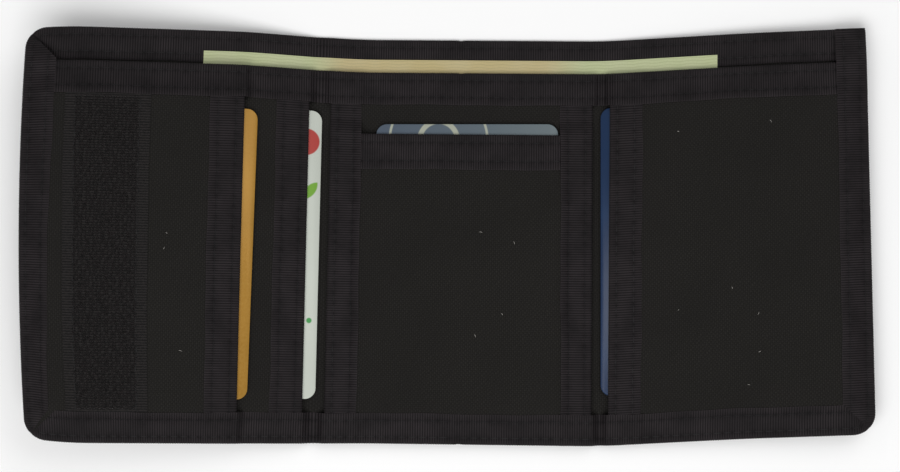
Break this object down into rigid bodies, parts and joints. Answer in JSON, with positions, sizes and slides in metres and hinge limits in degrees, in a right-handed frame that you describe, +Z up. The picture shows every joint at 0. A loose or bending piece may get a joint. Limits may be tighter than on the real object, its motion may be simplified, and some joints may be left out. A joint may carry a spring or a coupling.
{
  "type": "trifold wallet",
  "caption": "Trifold wallet of woven nylon with taped edges, a long banknote pocket, card pockets and a hook-and-loop closure, lying open with cards and a note in it.",
  "frame": {"origin": "bottom centre of the open wallet's box, on the surface it lies on", "axes": "+X along the open wallet towards the right wing, +Y towards the open edge of the banknote pocket, +Z up from the surface"},
  "size_m": [0.2478, 0.1196, 0.0208],
  "materials": {
    "fabric": "matt woven nylon",
    "tape": "ribbed grosgrain tape",
    "hooks": "nylon hooks",
    "loops": "brushed nylon loops",
    "gold_card": "satin metallic print",
    "white_card": "gloss print",
    "blue_card": "gloss print",
    "grey_card": "gloss print",
    "banknote": "matt printed paper"
  },
  "bodies": {
    "middle": {"middle_cover": "fabric", "middle_divider": "fabric", "middle_divider_tape": "tape", "middle_top_binding": "tape", "middle_bottom_binding": "tape", "centre_panel": "fabric", "centre_pocket_front": "fabric", "centre_pocket_tape": "tape", "centre_left_tape": "tape", "centre_right_tape": "tape"},
    "left_wing": {"left_cover": "fabric", "left_divider": "fabric", "left_divider_tape": "tape", "left_top_binding": "tape", "left_side_binding": "tape", "left_bottom_binding": "tape", "inner_pocket_front": "fabric", "inner_pocket_tape": "tape", "outer_pocket_front": "fabric", "outer_pocket_tape": "tape", "hook_strip": "hooks"},
    "right_wing": {"right_cover": "fabric", "right_divider": "fabric", "right_divider_tape": "tape", "right_top_binding": "tape", "right_side_binding": "tape", "right_bottom_binding": "tape", "right_pocket_front": "fabric", "right_pocket_tape": "tape", "loop_strip": "loops"},
    "gold_card": {"gold_card": "gold_card"},
    "white_card": {"white_card": "white_card"},
    "blue_card": {"blue_card": "blue_card"},
    "centre_card": {"centre_card": "grey_card"},
    "note_middle": {"note_middle": "banknote"},
    "note_left": {"note_left": "banknote"},
    "note_right": {"note_right": "banknote"}
  },
  "joints": [
    {"name": "left_fold", "type": "hinge", "parent": "middle", "child": "left_wing", "pos_m": [-0.03909, 0, 0.00833], "axis": [0, -1, 0], "range_deg": [-170, 10]},
    {"name": "right_fold", "type": "hinge", "parent": "middle", "child": "right_wing", "pos_m": [0.04466, 0, 0.0047], "axis": [0, 1, 0], "range_deg": [-177, 3]},
    {"name": "gold_card_slide", "type": "slide", "parent": "left_wing", "child": "gold_card", "axis": [0.9848, 0, -0.1736], "range_m": [-0.0055, 0.018]},
    {"name": "white_card_slide", "type": "slide", "parent": "left_wing", "child": "white_card", "axis": [0.9848, 0, -0.1736], "range_m": [-0.025, 0.001]},
    {"name": "blue_card_slide", "type": "slide", "parent": "right_wing", "child": "blue_card", "axis": [-0.9986, 0, -0.0523], "range_m": [-0.0165, 0.0019]},
    {"name": "centre_card_slide", "type": "slide", "parent": "middle", "child": "centre_card", "axis": [0, 1, 0], "range_m": [0, 0.082]},
    {"name": "note_slide", "type": "slide", "parent": "middle", "child": "note_middle", "axis": [0, 1, 0], "range_m": [-0.022, 0.087]},
    {"name": "note_left_fold", "type": "hinge", "parent": "note_middle", "child": "note_left", "pos_m": [-0.03909, 0, 0.00833], "axis": [0, -1, 0], "range_deg": [-170, 10]},
    {"name": "note_right_fold", "type": "hinge", "parent": "note_middle", "child": "note_right", "pos_m": [0.04466, 0, 0.0047], "axis": [0, 1, 0], "range_deg": [-177, 3]}
  ],
  "couplings": [
    {"joint": "note_left_fold", "follows": "left_fold", "ratio": 1},
    {"joint": "note_right_fold", "follows": "right_fold", "ratio": 1}
  ]
}
